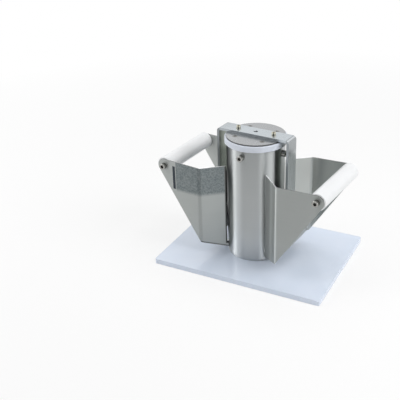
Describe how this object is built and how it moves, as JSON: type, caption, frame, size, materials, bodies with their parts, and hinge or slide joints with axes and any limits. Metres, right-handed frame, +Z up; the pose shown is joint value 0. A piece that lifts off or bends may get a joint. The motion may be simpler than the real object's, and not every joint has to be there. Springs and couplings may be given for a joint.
{
  "type": "pineapple corer",
  "caption": "Push-down pineapple corer: polished cutter tube with radial peel blades, white side grips and a flat-bar yoke, standing on a thin white board.",
  "frame": {"origin": "under the board, on the axis of the cutter tube", "axes": "+Z up along the tube's axis, X from grip to grip, -Y towards the viewer's side"},
  "size_m": [0.2947, 0.2238, 0.2133],
  "materials": {
    "polished_steel": "polished",
    "satin_steel": "satin",
    "plate_steel": "satin",
    "screw_steel": "satin",
    "white_plastic": "satin",
    "board_plastic": "satin"
  },
  "bodies": {
    "board": {"board": "board_plastic"},
    "corer": {"cutter_tube": "polished_steel", "core_tube": "polished_steel", "core_flange": "satin_steel", "cap": "white_plastic", "cap_plate": "plate_steel", "plate_screws": "screw_steel", "tube_screws": "screw_steel", "yoke": "satin_steel", "yoke_screws": "screw_steel", "wing_front_left": "satin_steel", "wing_rear_left": "satin_steel", "wing_front_right": "satin_steel", "wing_rear_right": "satin_steel", "web_left": "satin_steel", "web_right": "satin_steel", "web_screws": "screw_steel", "web_nuts": "screw_steel", "tab_welds": "satin_steel", "grip_left": "white_plastic", "grip_right": "white_plastic", "grip_screws": "screw_steel"}
  },
  "joints": [
    {"name": "corer_lift", "type": "slide", "parent": "board", "child": "corer", "axis": [0, 0, 1], "range_m": [0, 0.22]}
  ]
}
